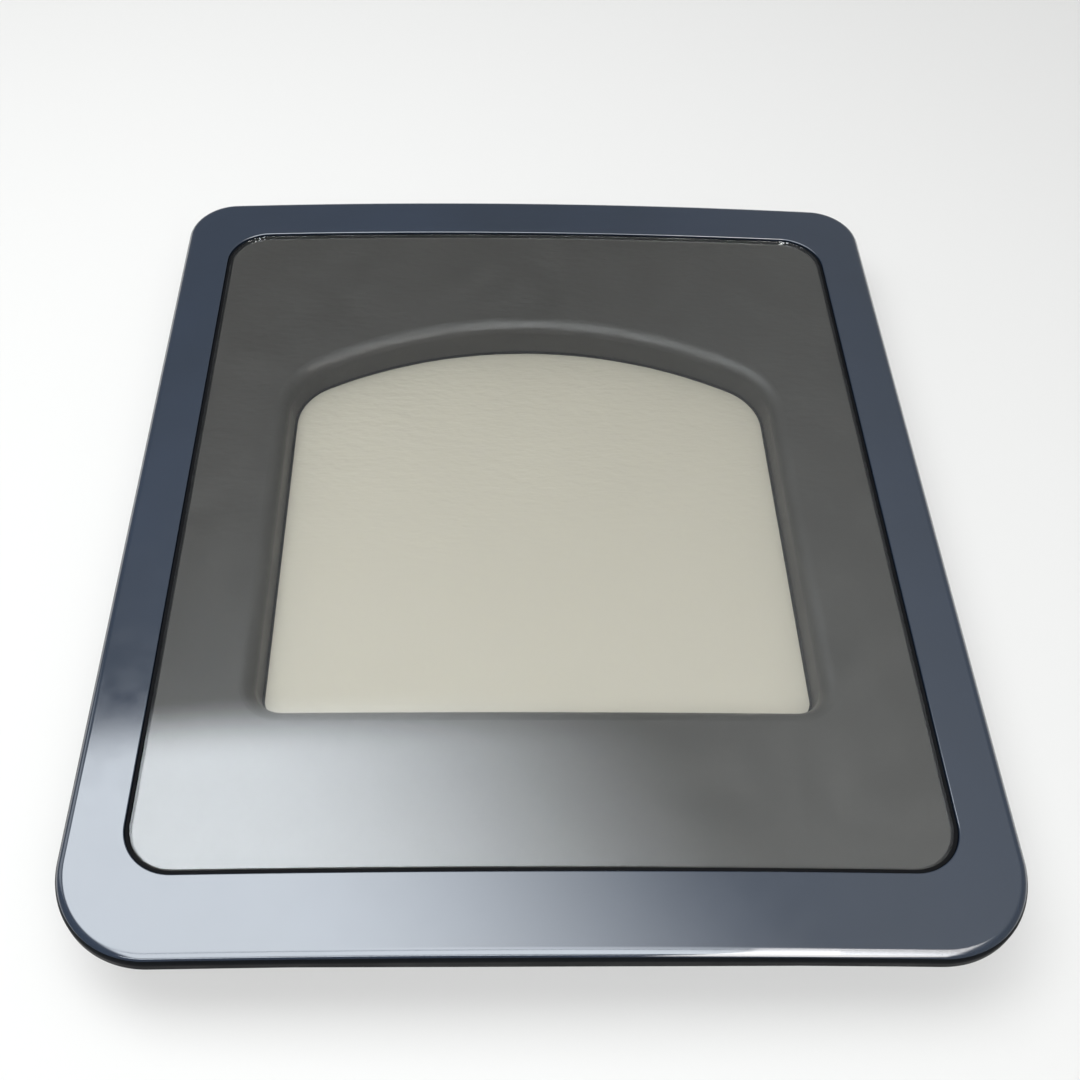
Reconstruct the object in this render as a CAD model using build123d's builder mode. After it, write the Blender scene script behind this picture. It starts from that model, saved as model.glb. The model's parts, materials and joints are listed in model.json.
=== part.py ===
from build123d import *
import math
import os

os.makedirs("parts", exist_ok=True)

# The dryer door lies face up: X across, Y towards its top, Z out of the front, all in millimetres.
# Z = 0 is the rim of the plug on its back, which it lies on.

# Door plan and crowned front
door_width = 570.0
door_height = 664.0
top_corner_radius = 37.0
bottom_corner_radius = 62.0
front_z = 64.0
crown_sag = 7.5
frame_back_z = 24.0
edge_roll = 6.0
frame_wall = 2.5
rim_depth = 12.0
rim_edge = 1.8
rim_lip = 3.0
back_inset = 18.0
back_draft = 38.0
back_wall = frame_wall / math.cos(math.radians(back_draft))
crown_radius = ((door_width / 2) ** 2 + crown_sag**2) / (2 * crown_sag)
crown_centre_z = front_z - crown_radius
crown_reach = door_width / 2 + 10.0

# Opening of the frame for the outer glass
side_rail = 37.0
top_rail = 42.5
bottom_rail = 51.5
opening_width = door_width - 2 * side_rail
opening_height = door_height - top_rail - bottom_rail
opening_y = (bottom_rail - top_rail) / 2
opening_radius = 32.0
opening_edge = 0.8
glass_gap = 2.5
glass_drop = 0.6
glass_thickness = 4.0
glass_edge = 0.6
gasket_thickness = 1.6
gasket_width = 4.0
gasket_fit = 0.3
gasket_lip_drop = 1.8
ledge_width = 13.0
ledge_thickness = 2.6
glass_back_depth = glass_drop + glass_thickness
gasket_seat_depth = glass_back_depth + gasket_thickness

# Grey surround behind the glass, with the arched recess of the window
surround_thickness = 2.4
surround_depth = 5.0
surround_fit = 0.3
surround_seat_depth = surround_depth + surround_thickness
ledge_depth = surround_seat_depth + ledge_thickness
recess_draft = 9.8
mouth_roll = 10.0
mouth_back_roll = mouth_roll - surround_thickness

# Arched window: straight sides, flat sill, shallow arch with rounded shoulders
window_side_margin = 68.0
window_sill_margin = 113.8
window_crest_margin = 114.2
window_half_width = opening_width / 2 - window_side_margin
window_sill_y = opening_y - opening_height / 2 + window_sill_margin
window_crest_y = opening_y + opening_height / 2 - window_crest_margin
arch_radius = 320.0
sill_corner_radius = 17.0
shoulder_radius = 45.0
arch_centre_y = window_crest_y - arch_radius

# Inner glass and what holds it
pane_z = 28.8
pane_thickness = 4.0
pane_margin = 12.0
seal_wall = 2.0
seal_front_lip = 1.2
seal_front_margin = -1.5
seal_back_lip = 1.2
surround_foot_z = pane_z + pane_thickness + seal_front_lip
retainer_thickness = 2.4
retainer_margin = 30.0
retainer_lip_margin = 4.0
retainer_bead_width = 3.0
retainer_bead = 1.6
retainer_top_z = pane_z - seal_back_lip
retainer_z = retainer_top_z - retainer_thickness
retainer_screw_margin = 22.0

# Rear panel, the plug that stands out of it, and the seal round the plug
panel_thickness = 2.4
panel_fit = 0.3
panel_inset = back_inset + back_wall + panel_fit
panel_top_z = frame_back_z + panel_thickness
plug_wall = 2.4
plug_margin = 36.0
plug_roll = 8.0
plug_lip_margin = 53.0
plug_lip = 2.4
plug_screw_margin = 49.0
well_mouth_margin = 11.0
well_top_margin = 4.6
well_roll = 2.0
well_top_z = retainer_z - retainer_bead
seal_inner_margin = 38.0
seal_outer_margin = 45.0
seal_height = 9.0
seal_roll = 3.2

# Hinges on the right edge; the left edge has the same places, closed with covers
hinge_setback = 9.0
hinge_x = door_width / 2 - hinge_setback
hinge_z = 36.0
hinge_from_end = 146.0
hinge_y = door_height / 2 - hinge_from_end
hinge_rows = (("upper", hinge_y), ("lower", -hinge_y))
knuckle_radius = 5.5
knuckle_half = 14.5
pin_radius = 3.0
pin_clearance = 0.05
pin_head = 1.6
ear_gap = 0.5
ear_thickness = 2.5
ear_half = knuckle_half + ear_gap + ear_thickness
ear_reach = 28.0
leaf_thickness = 2.5
leaf_z = 18.0
leaf_half = 27.0
leaf_corner = 5.0
leaf_width = 36.0
leaf_shoulder_x = hinge_x - 10.0
leaf_inner_x = leaf_shoulder_x - leaf_width
leaf_hole_x = leaf_inner_x + 14.0
leaf_hole_half_spacing = 18.0
leaf_hole_radius = 2.75
crank_x = hinge_x - 2.0
notch_half = 20.0
notch_depth = 25.0
notch_top_z = 42.0
blank_fit = 0.4
bracket_half = 44.0
bracket_width = 29.0
bracket_corner = 4.0
bracket_thickness = 2.5
bracket_outer_x = leaf_shoulder_x - 3.0
bracket_inner_x = bracket_outer_x - bracket_width
bracket_screw_y = 36.0
bracket_screw_xs = (bracket_inner_x + 8.0, bracket_outer_x - 8.0)

# Finger grip and strike on the left edge, plug over the spare strike hole on the right
grip_half = 80.0
grip_depth = 28.5
grip_inner_x = -door_width / 2 + grip_depth
grip_outer_x = -door_width / 2 + rim_lip + 1.0
grip_top_z = 42.0
grip_wall = 2.0
grip_roll = 6.0
grip_fit = 0.3
strike_x = grip_inner_x + 11.5
strike_tip_z = 4.0
strike_plate = 2.0
strike_plate_width = 22.0
strike_plate_length = 48.0
strike_plate_corner = 4.0
strike_prong_half = 7.0
strike_prong = 3.0
strike_bulb_radius = 3.2
strike_screw_half_spacing = 16.0
strike_screw_points = [(strike_x, strike_screw_half_spacing), (strike_x, -strike_screw_half_spacing)]
cover_plug_radius = 6.0
cover_plug_rim = 10.0
cover_plug_rim_height = 1.6
cover_plug_depth = 5.0
cover_plug_fit = 0.1

# Rubber bumpers in the corners of the back
bumper_radius = 6.0
bumper_height = 4.0
bumper_roll = 2.0
bumper_stem_radius = 3.0
bumper_stem = 5.0
bumper_fit = 0.1
bumper_inset = 48.0
bumper_points = [(s * (door_width / 2 - bumper_inset), t * (door_height / 2 - bumper_inset))
                 for s in (-1, 1) for t in (-1, 1)]

# Screws: larger ones at the frame, hinges and strike, smaller ones at retainer and plug
screw_head_height = 2.2
screw_head_radius = 4.2
screw_shank_radius = 1.9
screw_pass_radius = 2.15
screw_length = 14.0
short_screw_length = 8.0
small_head_height = 1.8
small_head_radius = 3.2
small_shank_radius = 1.4
small_pass_radius = 1.9
small_screw_length = 6.0
screw_fit = 0.05
slot_length = 4.6
slot_width = 1.0
slot_depth = 1.2
boss_radius = 4.6
small_boss_radius = 4.0
frame_screw_inset = panel_inset + 9.5
frame_screw_x = door_width / 2 - frame_screw_inset
frame_screw_y = door_height / 2 - frame_screw_inset
frame_screw_points = [
    (s * frame_screw_x, t * (hinge_y + d)) for s in (-1, 1) for t in (-1, 1) for d in (66.0, -70.0)
]
frame_screw_points += [(k * door_width / 4, t * frame_screw_y) for k in (-1, 0, 1) for t in (-1, 1)]
hinge_screw_points = [
    (x, y + s * bracket_screw_y) for row, y in hinge_rows for x in bracket_screw_xs for s in (-1, 1)
]


def arch_points(margin, shares, side_ys, sill_shares):
    """Points round the window at a margin: on the arch, down both sides and along the sill."""
    radius = arch_radius + margin
    half = window_half_width + margin
    spread = math.asin(half / radius)
    angles = [share * spread for share in shares]
    points = [(radius * math.sin(a), arch_centre_y + radius * math.cos(a)) for a in angles]
    points += [(s * half, y) for s in (-1, 1) for y in side_ys]
    points += [(k * window_half_width, window_sill_y - margin) for k in sill_shares]
    return points


side_third = (window_crest_y - window_sill_y) / 3
retainer_screw_points = arch_points(
    retainer_screw_margin, (-0.74, -0.28, 0.28, 0.74), (-side_third, 0, 0.65 * side_third),
    (-0.8, -0.28, 0.28, 0.8))
plug_screw_points = arch_points(
    plug_screw_margin, (-0.72, -0.28, 0.28, 0.72), (-0.75 * side_third, 0.5 * side_third), (-0.72, 0, 0.72))


def crown_height(x, depth):
    """Height of the surface that lies the given depth under the crowned front."""
    return crown_centre_z + math.sqrt((crown_radius - depth) ** 2 - x**2)


def crown_layer(top_depth, bottom_depth):
    """Cross-section between two depths under the crowned front."""
    with BuildSketch(Plane.XZ) as section:
        with BuildLine():
            upper = ThreePointArc(
                (-crown_reach, crown_height(crown_reach, top_depth)), (0, crown_height(0, top_depth)),
                (crown_reach, crown_height(crown_reach, top_depth)))
            lower = ThreePointArc(
                (-crown_reach, crown_height(crown_reach, bottom_depth)), (0, crown_height(0, bottom_depth)),
                (crown_reach, crown_height(crown_reach, bottom_depth)))
            Line(upper @ 0, lower @ 0)
            Line(upper @ 1, lower @ 1)
        make_face()
    return section.sketch


def crown_block(top_depth, floor_z):
    """Cross-section from a depth under the crowned front down to a flat floor."""
    with BuildSketch(Plane.XZ) as section:
        with BuildLine():
            upper = ThreePointArc(
                (-crown_reach, crown_height(crown_reach, top_depth)), (0, crown_height(0, top_depth)),
                (crown_reach, crown_height(crown_reach, top_depth)))
            Polyline(upper @ 0, (-crown_reach, floor_z), (crown_reach, floor_z), upper @ 1)
        make_face()
    return section.sketch


def door_outline(z, inset):
    """Outline of the door, moved inwards by the inset."""
    with BuildSketch(Plane.XY.offset(z)) as outline:
        Rectangle(door_width - 2 * inset, door_height - 2 * inset)
        fillet(outline.vertices().group_by(Axis.Y)[-1], top_corner_radius - inset)
        fillet(outline.vertices().group_by(Axis.Y)[0], bottom_corner_radius - inset)
    return outline.sketch


def opening_outline(z, inset):
    """Outline of the frame's opening, moved inwards by the inset."""
    with BuildSketch(Plane.XY.offset(z)) as outline:
        with Locations((0, opening_y)):
            RectangleRounded(opening_width - 2 * inset, opening_height - 2 * inset, opening_radius - inset)
    return outline.sketch


def arch_outline(z, margin):
    """Outline of the arched window, moved outwards by the margin."""
    half = window_half_width + margin
    sill = window_sill_y - margin
    radius = arch_radius + margin
    spring = arch_centre_y + math.sqrt(radius**2 - half**2)
    with BuildSketch(Plane.XY.offset(z)) as outline:
        with BuildLine():
            ThreePointArc((-half, spring), (0, arch_centre_y + radius), (half, spring))
            Polyline((half, spring), (half, sill), (-half, sill), (-half, spring))
        make_face()
        fillet(outline.vertices().group_by(Axis.Y)[0], sill_corner_radius + margin)
        fillet(outline.vertices().group_by(Axis.Y)[-1], shoulder_radius + margin)
    return outline.sketch


def round_holes(z, points, radius):
    """Circles for holes, bosses or shanks at the given points."""
    with BuildSketch(Plane.XY.offset(z)) as circles:
        with Locations(*points):
            Circle(radius)
    return circles.sketch


def has_hole(face):
    """True for a face with an inner edge, such as the sheet round the recess."""
    return len(face.inner_wires()) > 0


# Space inside the frame, with a ledge block left round the glass
with BuildPart() as ledge_block:
    extrude(crown_layer(-1, ledge_depth), amount=door_height, both=True)
    extrude(opening_outline(0, -frame_wall), amount=2 * front_z, mode=Mode.INTERSECT)

with BuildPart() as rim_hollow:
    extrude(crown_layer(frame_wall, rim_depth - frame_wall), amount=door_height, both=True)
    extrude(door_outline(0, frame_wall), amount=2 * front_z, mode=Mode.INTERSECT)
    fillet(rim_hollow.faces().sort_by(Axis.Z)[-1].edges(), edge_roll - frame_wall)

with BuildPart() as back_hollow:
    extrude(door_outline(frame_back_z, back_inset + back_wall), amount=front_z, taper=-back_draft)
    extrude(door_outline(0, rim_lip + frame_wall), amount=2 * front_z, mode=Mode.INTERSECT)
    extrude(crown_block(rim_depth / 2, frame_back_z), amount=door_height, both=True, mode=Mode.INTERSECT)

with BuildPart() as frame_hollow:
    add(rim_hollow.part)
    add(back_hollow.part)
    add(ledge_block.part, mode=Mode.SUBTRACT)

with BuildPart() as frame_back:
    extrude(door_outline(frame_back_z, back_inset), amount=front_z, taper=-back_draft)
    extrude(door_outline(0, rim_lip), amount=2 * front_z, mode=Mode.INTERSECT)
    extrude(crown_block(rim_depth / 2, frame_back_z), amount=door_height, both=True, mode=Mode.INTERSECT)

with BuildPart() as glass_pocket:
    extrude(crown_layer(-1, gasket_seat_depth), amount=door_height, both=True)
    extrude(opening_outline(0, 0), amount=2 * front_z, mode=Mode.INTERSECT)

with BuildPart() as surround_pocket:
    extrude(crown_layer(0, surround_seat_depth), amount=door_height, both=True)
    extrude(opening_outline(0, gasket_width), amount=2 * front_z, mode=Mode.INTERSECT)

# Glossy frame: crowned face with a rolled rim over a tapered back, hollow, stepped for gasket and surround
with BuildPart() as outer_frame:
    extrude(crown_layer(0, rim_depth), amount=door_height, both=True)
    extrude(door_outline(0, 0), amount=2 * front_z, mode=Mode.INTERSECT)
    fillet(outer_frame.faces().sort_by(Axis.Z)[-1].edges(), edge_roll)
    fillet(outer_frame.faces().sort_by(Axis.Z)[0].edges(), rim_edge)
    add(frame_back.part)
    add(frame_hollow.part, mode=Mode.SUBTRACT)
    add(glass_pocket.part, mode=Mode.SUBTRACT)
    add(surround_pocket.part, mode=Mode.SUBTRACT)
    extrude(opening_outline(0, ledge_width), amount=2 * front_z, mode=Mode.SUBTRACT)
    fillet(outer_frame.faces().sort_by(Axis.Z)[-1].inner_wires()[0].edges(), opening_edge)
    for x, y in frame_screw_points:
        extrude(round_holes(panel_top_z, [(x, y)], boss_radius),
                amount=crown_height(x, frame_wall / 2) - panel_top_z)
    extrude(round_holes(panel_top_z, frame_screw_points, screw_shank_radius + screw_fit), amount=screw_length,
            mode=Mode.SUBTRACT)
    for side in (-1, 1):
        for row, y in hinge_rows:
            with Locations((side * door_width / 2, y, frame_back_z)):
                Box(2 * notch_depth, 2 * notch_half, 2 * (notch_top_z - frame_back_z), mode=Mode.SUBTRACT)
    with Locations((-door_width / 2, 0, frame_back_z)):
        Box(2 * notch_depth, 2 * (grip_half + grip_fit), 2 * (grip_top_z - frame_back_z), mode=Mode.SUBTRACT)
outer_frame.part.label = "outer_frame"
export_step(outer_frame.part, "parts/outer_frame.step")

# Outer glass, bent to the same crown
with BuildPart() as outer_glass:
    extrude(crown_layer(glass_drop, glass_back_depth), amount=door_height, both=True)
    extrude(opening_outline(0, glass_gap), amount=2 * front_z, mode=Mode.INTERSECT)
    chamfer(outer_glass.faces().sort_by(Axis.Z)[-1].edges(), glass_edge)
outer_glass.part.label = "outer_glass"
export_step(outer_glass.part, "parts/outer_glass.step")

# Black gasket of L section, under the rim of the glass and round its edge
with BuildPart() as gasket_inside:
    extrude(crown_layer(0, glass_back_depth), amount=door_height, both=True)
    extrude(opening_outline(0, glass_gap), amount=2 * front_z, mode=Mode.INTERSECT)

with BuildPart() as glass_gasket:
    extrude(crown_layer(gasket_lip_drop, gasket_seat_depth), amount=door_height, both=True)
    extrude(opening_outline(0, gasket_fit), amount=2 * front_z, mode=Mode.INTERSECT)
    add(gasket_inside.part, mode=Mode.SUBTRACT)
    extrude(opening_outline(0, gasket_width), amount=2 * front_z, mode=Mode.SUBTRACT)
glass_gasket.part.label = "glass_gasket"
export_step(glass_gasket.part, "parts/glass_gasket.step")

# Grey surround: crowned sheet that rolls over the arched mouth into the drafted recess of the window
with BuildPart() as recess_wall:
    extrude(arch_outline(surround_foot_z, surround_thickness), amount=front_z, taper=-recess_draft)
    extrude(crown_block(surround_depth, 0), amount=door_height, both=True, mode=Mode.INTERSECT)

with BuildPart() as recess_void:
    extrude(arch_outline(surround_foot_z, 0), amount=front_z, taper=-recess_draft)

with BuildPart() as window_surround:
    extrude(crown_layer(surround_depth, surround_seat_depth), amount=door_height, both=True)
    extrude(opening_outline(0, gasket_width + surround_fit), amount=2 * front_z, mode=Mode.INTERSECT)
    add(recess_wall.part)
    sheet_back = window_surround.faces().filter_by(has_hole)[0]
    fillet(sheet_back.inner_wires()[0].edges(), mouth_back_roll)
    add(recess_void.part, mode=Mode.SUBTRACT)
    sheet_front = window_surround.faces().filter_by(has_hole).sort_by(Axis.Z)[-1]
    fillet(sheet_front.inner_wires()[0].edges(), mouth_roll)
    for x, y in retainer_screw_points:
        extrude(round_holes(retainer_top_z, [(x, y)], small_boss_radius),
                amount=crown_height(x, surround_depth + surround_thickness / 2) - retainer_top_z)
    extrude(round_holes(retainer_top_z, retainer_screw_points, small_shank_radius + screw_fit),
            amount=screw_length, mode=Mode.SUBTRACT)
window_surround.part.label = "window_surround"
export_step(window_surround.part, "parts/window_surround.step")

# Inner glass: flat arched pane at the foot of the recess
with BuildPart() as inner_glass:
    extrude(arch_outline(pane_z, pane_margin), amount=pane_thickness)
inner_glass.part.label = "inner_glass"
export_step(inner_glass.part, "parts/inner_glass.step")

# Rubber channel round the pane
with BuildPart() as inner_glass_seal:
    extrude(arch_outline(retainer_top_z, pane_margin + seal_wall), amount=surround_foot_z - retainer_top_z)
    extrude(arch_outline(pane_z, pane_margin), amount=pane_thickness, mode=Mode.SUBTRACT)
    extrude(arch_outline(pane_z + pane_thickness, seal_front_margin), amount=front_z, mode=Mode.SUBTRACT)
    extrude(arch_outline(0, retainer_lip_margin), amount=pane_z, mode=Mode.SUBTRACT)
inner_glass_seal.part.label = "inner_glass_seal"
export_step(inner_glass_seal.part, "parts/inner_glass_seal.step")

# Retainer ring that clamps pane and seal against the foot of the surround
with BuildPart() as glass_retainer:
    extrude(arch_outline(retainer_z, retainer_margin), amount=retainer_thickness)
    extrude(arch_outline(well_top_z, retainer_lip_margin + retainer_bead_width), amount=retainer_bead)
    extrude(arch_outline(0, retainer_lip_margin), amount=front_z, mode=Mode.SUBTRACT)
    extrude(round_holes(retainer_z, retainer_screw_points, small_pass_radius), amount=retainer_thickness,
            mode=Mode.SUBTRACT)
glass_retainer.part.label = "glass_retainer"
export_step(glass_retainer.part, "parts/glass_retainer.step")

with BuildPart() as retainer_screws:
    extrude(round_holes(retainer_z - small_head_height, retainer_screw_points, small_head_radius),
            amount=small_head_height)
    extrude(round_holes(retainer_z, retainer_screw_points, small_shank_radius), amount=screw_length)
retainer_screws.part.label = "retainer_screws"
export_step(retainer_screws.part, "parts/retainer_screws.step")

# Rear panel inside the back of the frame, open where the plug passes through it
with BuildPart() as rear_panel:
    extrude(door_outline(frame_back_z, panel_inset), amount=panel_thickness)
    extrude(arch_outline(frame_back_z, plug_margin + panel_fit), amount=panel_thickness, mode=Mode.SUBTRACT)
    with BuildSketch(Plane.XY.offset(frame_back_z)):
        with Locations(*frame_screw_points, *hinge_screw_points, *strike_screw_points):
            Circle(screw_pass_radius)
        with Locations(*plug_screw_points):
            Circle(small_pass_radius)
        with Locations(*bumper_points):
            Circle(bumper_stem_radius + bumper_fit)
        with Locations((-strike_x, 0)):
            Circle(cover_plug_radius + cover_plug_fit)
        with Locations((-door_width / 2, 0)):
            Rectangle(2 * (grip_depth + grip_fit), 2 * (grip_half + grip_fit))
    extrude(amount=panel_thickness, mode=Mode.SUBTRACT)
rear_panel.part.label = "rear_panel"
export_step(rear_panel.part, "parts/rear_panel.step")

# Plug: hollow arched ring with a rolled rim, a lip inside the panel and a tapered well up to the pane
with BuildPart() as plug_hollow:
    extrude(arch_outline(plug_wall, plug_margin - plug_wall), amount=front_z)
    fillet(plug_hollow.faces().sort_by(Axis.Z)[0].edges(), plug_roll - plug_wall)

with BuildPart() as well_wall:
    loft([arch_outline(0, well_mouth_margin + plug_wall),
          arch_outline(well_top_z, well_top_margin + plug_wall)], ruled=True)

with BuildPart() as well_void:
    loft([arch_outline(0, well_mouth_margin), arch_outline(well_top_z, well_top_margin)], ruled=True)

with BuildPart() as plug:
    extrude(arch_outline(0, plug_margin), amount=panel_top_z)
    fillet(plug.faces().sort_by(Axis.Z)[0].edges(), plug_roll)
    extrude(arch_outline(panel_top_z, plug_lip_margin), amount=plug_lip)
    add(plug_hollow.part, mode=Mode.SUBTRACT)
    add(well_wall.part)
    add(well_void.part, mode=Mode.SUBTRACT)
    fillet(plug.faces().sort_by(Axis.Z)[0].inner_wires()[0].edges(), well_roll)
    extrude(round_holes(panel_top_z, plug_screw_points, small_shank_radius + screw_fit), amount=plug_lip,
            mode=Mode.SUBTRACT)
plug.part.label = "plug"
export_step(plug.part, "parts/plug.step")

with BuildPart() as plug_screws:
    extrude(round_holes(frame_back_z - small_head_height, plug_screw_points, small_head_radius),
            amount=small_head_height)
    extrude(round_holes(frame_back_z, plug_screw_points, small_shank_radius), amount=small_screw_length)
plug_screws.part.label = "plug_screws"
export_step(plug_screws.part, "parts/plug_screws.step")

# Rubber seal of D section round the plug
with BuildPart() as door_seal:
    extrude(arch_outline(frame_back_z - seal_height, seal_outer_margin), amount=seal_height)
    extrude(arch_outline(frame_back_z - seal_height, seal_inner_margin), amount=seal_height,
            mode=Mode.SUBTRACT)
    fillet(door_seal.faces().sort_by(Axis.Z)[0].edges(), seal_roll)
door_seal.part.label = "door_seal"
export_step(door_seal.part, "parts/door_seal.step")

for row, y in hinge_rows:
    # Cabinet leaf: plate for the cabinet's screws, cranked up to a knuckle on the pin
    with BuildPart() as hinge_leaf:
        with BuildSketch(Plane.XY.offset(leaf_z)):
            with Locations((leaf_inner_x + leaf_width / 2, y)):
                RectangleRounded(leaf_width, 2 * leaf_half, leaf_corner)
            with Locations(((leaf_shoulder_x - leaf_width / 2 + crank_x) / 2, y)):
                Rectangle(crank_x - leaf_shoulder_x + leaf_width / 2, 2 * knuckle_half)
        extrude(amount=leaf_thickness)
        with BuildSketch(Plane.XZ.offset(-y)):
            with Locations((crank_x - leaf_thickness / 2, (leaf_z + hinge_z) / 2)):
                Rectangle(leaf_thickness, hinge_z - leaf_z)
            with Locations((hinge_x, hinge_z)):
                Circle(knuckle_radius)
        extrude(amount=knuckle_half, both=True)
        with BuildSketch(Plane.XZ.offset(-y)):
            with Locations((hinge_x, hinge_z)):
                Circle(pin_radius + pin_clearance)
        extrude(amount=knuckle_half, both=True, mode=Mode.SUBTRACT)
        leaf_holes = [(leaf_hole_x, y + s * leaf_hole_half_spacing) for s in (-1, 1)]
        extrude(round_holes(leaf_z, leaf_holes, leaf_hole_radius), amount=leaf_thickness, mode=Mode.SUBTRACT)
    hinge_leaf.part.label = row + "_hinge_leaf"
    export_step(hinge_leaf.part, "parts/" + row + "_hinge_leaf.step")

    # Door bracket inside the panel, with two ears that carry the pin
    with BuildPart() as hinge_bracket:
        with BuildSketch(Plane.XZ.offset(-y)):
            with BuildLine():
                Polyline(
                    (hinge_x - ear_reach, panel_top_z), (hinge_x, panel_top_z),
                    (hinge_x, hinge_z + knuckle_radius), (leaf_shoulder_x, hinge_z + knuckle_radius),
                    (hinge_x - ear_reach, panel_top_z + bracket_thickness),
                    (hinge_x - ear_reach, panel_top_z))
            make_face()
            with Locations((hinge_x, hinge_z)):
                Circle(knuckle_radius)
                Circle(pin_radius, mode=Mode.SUBTRACT)
        extrude(amount=ear_half, both=True)
        with Locations((hinge_x, y, hinge_z)):
            Box(2 * ear_reach + 2, 2 * (knuckle_half + ear_gap), door_width, mode=Mode.SUBTRACT)
        with BuildSketch(Plane.XY.offset(panel_top_z)):
            with Locations((bracket_inner_x + bracket_width / 2, y)):
                RectangleRounded(bracket_width, 2 * bracket_half, bracket_corner)
        extrude(amount=bracket_thickness)
        bracket_holes = [point for point in hinge_screw_points if point[1] * y > 0]
        extrude(round_holes(panel_top_z, bracket_holes, screw_shank_radius + screw_fit),
                amount=bracket_thickness, mode=Mode.SUBTRACT)
    hinge_bracket.part.label = row + "_hinge_bracket"
    export_step(hinge_bracket.part, "parts/" + row + "_hinge_bracket.step")

    # Pin with a riveted head at each end
    with BuildPart() as hinge_pin:
        with BuildSketch(Plane.XZ.offset(-y)):
            with Locations((hinge_x, hinge_z)):
                Circle(pin_radius + pin_head)
        extrude(amount=ear_half + pin_head, both=True)
        with BuildSketch(Plane.XZ.offset(-y)):
            with Locations((hinge_x, hinge_z)):
                Circle(pin_radius + 2 * pin_head)
                Circle(pin_radius, mode=Mode.SUBTRACT)
        extrude(amount=ear_half, both=True, mode=Mode.SUBTRACT)
    hinge_pin.part.label = row + "_hinge_pin"
    export_step(hinge_pin.part, "parts/" + row + "_hinge_pin.step")

    # Cover over the spare hinge place on the left edge, flush with the tapered back
    with BuildPart() as hinge_blank:
        add(frame_back.part)
        add(back_hollow.part, mode=Mode.SUBTRACT)
        with Locations((-door_width / 2, y, frame_back_z)):
            Box(2 * notch_depth, 2 * (notch_half - blank_fit), 2 * (notch_top_z - blank_fit - frame_back_z),
                mode=Mode.INTERSECT)
    hinge_blank.part.label = row + "_hinge_blank"
    export_step(hinge_blank.part, "parts/" + row + "_hinge_blank.step")

# Cross-slotted screws of frame, hinges and strike
for group, points, bearing_z, length in (
        ("frame_screws", frame_screw_points, frame_back_z, screw_length),
        ("hinge_screws", hinge_screw_points, frame_back_z, short_screw_length),
        ("strike_screws", strike_screw_points, frame_back_z - strike_plate, short_screw_length)):
    with BuildPart() as screws:
        extrude(round_holes(bearing_z - screw_head_height, points, screw_head_radius),
                amount=screw_head_height)
        extrude(round_holes(bearing_z, points, screw_shank_radius), amount=length)
        with BuildSketch(Plane.XY.offset(bearing_z - screw_head_height)):
            with Locations(*points):
                Rectangle(slot_length, slot_width)
                Rectangle(slot_width, slot_length)
        extrude(amount=slot_depth, mode=Mode.SUBTRACT)
    screws.part.label = group
    export_step(screws.part, "parts/" + group + ".step")

# Finger grip: rounded scoop behind the left rim, flush with the tapered back
with BuildPart() as grip_space:
    with Locations((grip_inner_x - grip_wall - grip_depth, 0, grip_top_z - grip_wall - grip_depth)):
        Box(2 * grip_depth, 2 * (grip_half - grip_wall), 2 * grip_depth)
    fillet(grip_space.faces().sort_by(Axis.Z)[-1].edges().filter_by(Axis.Y).sort_by(Axis.X)[-1],
           grip_roll - grip_wall)

with BuildPart() as finger_grip:
    with Locations(((grip_outer_x + grip_inner_x) / 2, 0, (frame_back_z + grip_top_z) / 2)):
        Box(grip_inner_x - grip_outer_x, 2 * grip_half, grip_top_z - frame_back_z)
    fillet(finger_grip.faces().sort_by(Axis.Z)[-1].edges().filter_by(Axis.Y).sort_by(Axis.X)[-1], grip_roll)
    add(grip_space.part, mode=Mode.SUBTRACT)
    add(frame_back.part, mode=Mode.INTERSECT)
finger_grip.part.label = "finger_grip"
export_step(finger_grip.part, "parts/finger_grip.step")

# Strike: steel plate with a bulb-ended prong for the cabinet's catch
with BuildPart() as strike:
    with BuildSketch(Plane.XY.offset(frame_back_z - strike_plate)):
        with Locations((strike_x, 0)):
            RectangleRounded(strike_plate_width, strike_plate_length, strike_plate_corner)
    extrude(amount=strike_plate)
    extrude(round_holes(frame_back_z - strike_plate, strike_screw_points, screw_pass_radius),
            amount=strike_plate, mode=Mode.SUBTRACT)
    with BuildSketch(Plane.XZ):
        with Locations((strike_x, (strike_tip_z + strike_bulb_radius + frame_back_z - strike_plate) / 2)):
            Rectangle(strike_prong, frame_back_z - strike_plate - strike_tip_z - strike_bulb_radius)
        with Locations((strike_x, strike_tip_z + strike_bulb_radius)):
            Circle(strike_bulb_radius)
    extrude(amount=strike_prong_half, both=True)
strike.part.label = "strike"
export_step(strike.part, "parts/strike.step")

with BuildPart() as strike_backing:
    with BuildSketch(Plane.XY.offset(panel_top_z)):
        with Locations((strike_x, 0)):
            RectangleRounded(strike_plate_width, strike_plate_length, strike_plate_corner)
    extrude(amount=strike_plate)
    extrude(round_holes(panel_top_z, strike_screw_points, screw_shank_radius + screw_fit),
            amount=strike_plate, mode=Mode.SUBTRACT)
strike_backing.part.label = "strike_backing"
export_step(strike_backing.part, "parts/strike_backing.step")

# Plug in the spare strike hole on the right
with BuildPart() as strike_plug:
    extrude(round_holes(frame_back_z - cover_plug_rim_height, [(-strike_x, 0)], cover_plug_rim),
            amount=cover_plug_rim_height)
    extrude(round_holes(frame_back_z, [(-strike_x, 0)], cover_plug_radius), amount=cover_plug_depth)
    fillet(strike_plug.faces().sort_by(Axis.Z)[0].edges(), cover_plug_rim_height / 2)
strike_plug.part.label = "strike_plug"
export_step(strike_plug.part, "parts/strike_plug.step")

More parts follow.
